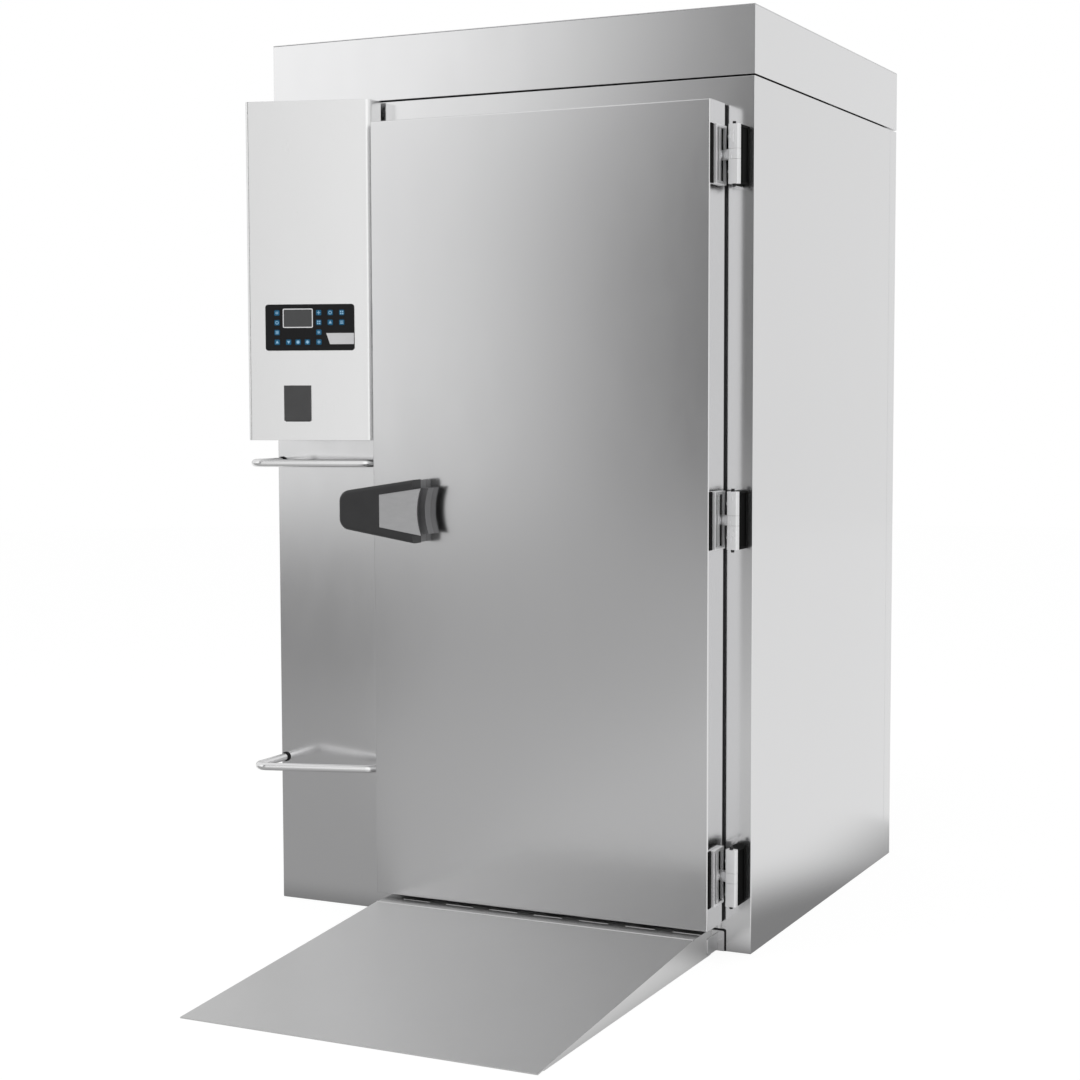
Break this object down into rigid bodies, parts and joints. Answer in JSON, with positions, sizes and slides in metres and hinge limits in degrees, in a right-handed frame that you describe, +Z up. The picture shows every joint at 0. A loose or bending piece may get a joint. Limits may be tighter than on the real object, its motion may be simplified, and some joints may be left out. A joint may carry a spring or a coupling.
{
  "type": "blast chiller",
  "caption": "Roll-in blast chiller cabinet with a hinged insulated door, entry ramp, guard rails and a slanted control box.",
  "frame": {"origin": "centre of the cabinet's footprint on the floor", "axes": "+Z up, front with door and ramp toward -Y, hinges at +X"},
  "size_m": [1.416, 2.368, 2.4],
  "materials": {
    "cabinet_steel": "brushed",
    "door_steel": "brushed",
    "ramp_steel": "matt brushed",
    "bright_steel": "satin",
    "hinge_metal": "satin",
    "dark_steel": "satin black",
    "black_plastic": "fine grain",
    "handle_grey": "satin grey",
    "grip_grey": "smooth",
    "box_panel": "fine satin",
    "panel_black": "gloss",
    "window_smoke": "smoked",
    "key_blue": "printed",
    "board_green": "circuit board",
    "coil_metal": "fins",
    "copper": "bare",
    "motor_grey": "painted",
    "foam": "rigid foam",
    "gasket_rubber": "soft",
    "release_green": "glossy"
  },
  "bodies": {
    "cabinet": {"floor_panel": "cabinet_steel", "left_wall": "cabinet_steel", "right_wall": "cabinet_steel", "back_wall": "cabinet_steel", "roof_panel": "cabinet_steel", "front_left_panel": "cabinet_steel", "hinge_jamb": "cabinet_steel", "front_header": "cabinet_steel", "top_cowl": "cabinet_steel", "cowl_lid": "cabinet_steel", "ramp": "ramp_steel", "ramp_brackets": "bright_steel", "hinge_base_blocks": "black_plastic", "hinge_frame_knuckles": "hinge_metal", "hinge_pins": "dark_steel", "strike_block": "black_plastic", "lower_guard_rail": "bright_steel", "upper_guard_rail": "bright_steel", "rail_grommets": "gasket_rubber", "control_cover": "box_panel", "control_backplate": "bright_steel", "key_panel": "panel_black", "display_window": "window_smoke", "controller_board": "board_green", "printer_body": "black_plastic", "evaporator_coil": "coil_metal", "drain_pan": "bright_steel", "wall_bumpers": "bright_steel", "refrigerant_pipes": "copper"},
    "door": {"door_outer_skin": "door_steel", "door_liner": "door_steel", "door_core": "foam", "door_gasket": "gasket_rubber", "hinge_door_leaves": "hinge_metal", "handle_base": "handle_grey", "release_guide": "bright_steel"},
    "handle": {"handle_lever": "black_plastic", "grip_plate": "grip_grey"},
    "release": {"release_rod": "release_green"},
    "air_panel": {"fan_panel": "bright_steel", "fan_motors": "motor_grey", "fan_guards": "bright_steel"},
    "lower_fan": {"lower_fan": "motor_grey"},
    "upper_fan": {"upper_fan": "motor_grey"},
    "printer_flap": {"printer_flap": "black_plastic"},
    "key_1": {"key_1": "key_blue"},
    "key_2": {"key_2": "key_blue"},
    "key_3": {"key_3": "key_blue"},
    "key_4": {"key_4": "key_blue"},
    "key_5": {"key_5": "key_blue"},
    "key_6": {"key_6": "key_blue"},
    "key_7": {"key_7": "key_blue"},
    "key_8": {"key_8": "key_blue"},
    "key_9": {"key_9": "key_blue"},
    "key_10": {"key_10": "key_blue"},
    "key_11": {"key_11": "key_blue"},
    "key_12": {"key_12": "key_blue"},
    "key_13": {"key_13": "key_blue"},
    "key_14": {"key_14": "key_blue"},
    "key_15": {"key_15": "key_blue"}
  },
  "joints": [
    {"name": "door_hinge", "type": "hinge", "parent": "cabinet", "child": "door", "pos_m": [0.676, -0.693, 1.1175], "axis": [0, 0, 1], "range_deg": [0, 115]},
    {"name": "handle_pull", "type": "hinge", "parent": "door", "child": "handle", "pos_m": [-0.28, -0.805, 1.127], "axis": [0, 0, -1], "range_deg": [0, 18], "stiffness_Nm_per_rad": 6},
    {"name": "release_push", "type": "slide", "parent": "door", "child": "release", "axis": [0, -1, 0], "range_m": [0, 0.0173]},
    {"name": "air_panel_swing", "type": "hinge", "parent": "cabinet", "child": "air_panel", "pos_m": [-0.311, 0.52, 1.1], "axis": [0, 0, 1], "range_deg": [0, 90]},
    {"name": "lower_fan_spin", "type": "hinge", "parent": "air_panel", "child": "lower_fan", "pos_m": [-0.36, 0.08, 0.62], "axis": [1, 0, 0], "continuous": true},
    {"name": "upper_fan_spin", "type": "hinge", "parent": "air_panel", "child": "upper_fan", "pos_m": [-0.36, 0.08, 1.56], "axis": [1, 0, 0], "continuous": true},
    {"name": "printer_flap_turn", "type": "hinge", "parent": "cabinet", "child": "printer_flap", "pos_m": [-0.55558, -0.76757, 1.3645], "axis": [0.9566, 0.2914, 0], "range_deg": [0, 85]},
    {"name": "key_1_press", "type": "slide", "parent": "cabinet", "child": "key_1", "axis": [-0.2914, 0.9566, 0], "range_m": [0, 0.0004], "stiffness_N_per_m": 400},
    {"name": "key_2_press", "type": "slide", "parent": "cabinet", "child": "key_2", "axis": [-0.2914, 0.9566, 0], "range_m": [0, 0.0004], "stiffness_N_per_m": 400},
    {"name": "key_3_press", "type": "slide", "parent": "cabinet", "child": "key_3", "axis": [-0.2914, 0.9566, 0], "range_m": [0, 0.0004], "stiffness_N_per_m": 400},
    {"name": "key_4_press", "type": "slide", "parent": "cabinet", "child": "key_4", "axis": [-0.2914, 0.9566, 0], "range_m": [0, 0.0004], "stiffness_N_per_m": 400},
    {"name": "key_5_press", "type": "slide", "parent": "cabinet", "child": "key_5", "axis": [-0.2914, 0.9566, 0], "range_m": [0, 0.0004], "stiffness_N_per_m": 400},
    {"name": "key_6_press", "type": "slide", "parent": "cabinet", "child": "key_6", "axis": [-0.2914, 0.9566, 0], "range_m": [0, 0.0004], "stiffness_N_per_m": 400},
    {"name": "key_7_press", "type": "slide", "parent": "cabinet", "child": "key_7", "axis": [-0.2914, 0.9566, 0], "range_m": [0, 0.0004], "stiffness_N_per_m": 400},
    {"name": "key_8_press", "type": "slide", "parent": "cabinet", "child": "key_8", "axis": [-0.2914, 0.9566, 0], "range_m": [0, 0.0004], "stiffness_N_per_m": 400},
    {"name": "key_9_press", "type": "slide", "parent": "cabinet", "child": "key_9", "axis": [-0.2914, 0.9566, 0], "range_m": [0, 0.0004], "stiffness_N_per_m": 400},
    {"name": "key_10_press", "type": "slide", "parent": "cabinet", "child": "key_10", "axis": [-0.2914, 0.9566, 0], "range_m": [0, 0.0004], "stiffness_N_per_m": 400},
    {"name": "key_11_press", "type": "slide", "parent": "cabinet", "child": "key_11", "axis": [-0.2914, 0.9566, 0], "range_m": [0, 0.0004], "stiffness_N_per_m": 400},
    {"name": "key_12_press", "type": "slide", "parent": "cabinet", "child": "key_12", "axis": [-0.2914, 0.9566, 0], "range_m": [0, 0.0004], "stiffness_N_per_m": 400},
    {"name": "key_13_press", "type": "slide", "parent": "cabinet", "child": "key_13", "axis": [-0.2914, 0.9566, 0], "range_m": [0, 0.0004], "stiffness_N_per_m": 400},
    {"name": "key_14_press", "type": "slide", "parent": "cabinet", "child": "key_14", "axis": [-0.2914, 0.9566, 0], "range_m": [0, 0.0004], "stiffness_N_per_m": 400},
    {"name": "key_15_press", "type": "slide", "parent": "cabinet", "child": "key_15", "axis": [-0.2914, 0.9566, 0], "range_m": [0, 0.0004], "stiffness_N_per_m": 400}
  ],
  "couplings": [
    {"joint": "release_push", "follows": "handle_pull", "m_per_rad": 0.055}
  ]
}
